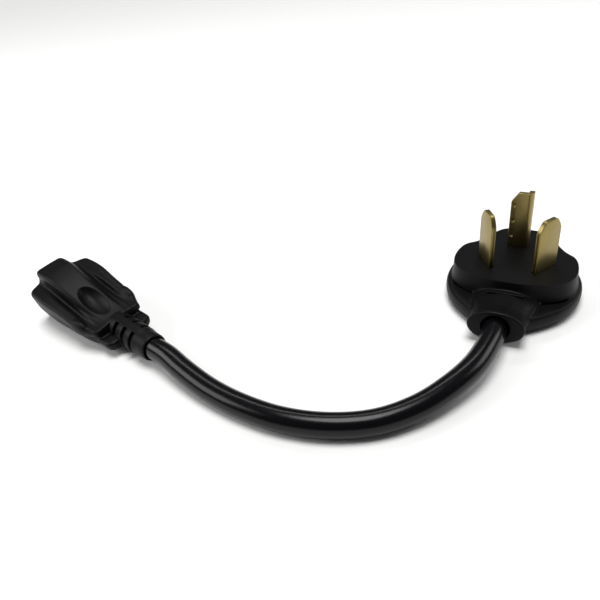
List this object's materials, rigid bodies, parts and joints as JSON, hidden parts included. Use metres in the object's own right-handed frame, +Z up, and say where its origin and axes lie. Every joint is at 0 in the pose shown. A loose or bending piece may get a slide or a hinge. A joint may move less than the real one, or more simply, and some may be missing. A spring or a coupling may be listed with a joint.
{
  "type": "three-blade plug to three-hole connector adapter cord",
  "caption": "Short power adapter cord: a round right-angle plug with slanted flat blades and an L-shaped blade, a thick black cord and a household-style connector.",
  "frame": {"origin": "centre of the box around the plug and the connector, on the surface that they lie on", "axes": "+X from the connector's side to the plug's side, +Y away from the bow of the cord, +Z up along the plug's blades"},
  "size_m": [0.2459, 0.1187, 0.042],
  "materials": {
    "moulded_black_vinyl": "satin moulded",
    "cord_black_vinyl": "extruded, semi-gloss",
    "black_nylon": "fine matte",
    "brass": "stamped, bright",
    "copper_strand": "drawn copper",
    "wire_black": "extruded",
    "wire_white": "extruded",
    "wire_green": "extruded"
  },
  "bodies": {
    "root": {"blade_carrier": "black_nylon", "connector_crimp_ground": "brass", "connector_crimp_line": "brass", "connector_crimp_neutral": "brass", "connector_overmould": "moulded_black_vinyl", "connector_strand_ground": "copper_strand", "connector_strand_line": "copper_strand", "connector_strand_neutral": "copper_strand", "connector_wire_ground": "wire_green", "connector_wire_line": "wire_black", "connector_wire_neutral": "wire_white", "cord_jacket": "cord_black_vinyl", "front_insert": "black_nylon", "ground_contact": "brass", "line_blade_left": "brass", "line_blade_right": "brass", "line_contact": "brass", "neutral_blade": "brass", "neutral_contact": "brass", "plug_crimp_line_left": "brass", "plug_crimp_line_right": "brass", "plug_crimp_neutral": "brass", "plug_overmould": "moulded_black_vinyl", "plug_strand_line_left": "copper_strand", "plug_strand_line_right": "copper_strand", "plug_strand_neutral": "copper_strand", "plug_wire_line_left": "wire_black", "plug_wire_line_right": "wire_black", "plug_wire_neutral": "wire_white", "strain_relief_boot": "moulded_black_vinyl"}
  },
  "joints": []
}
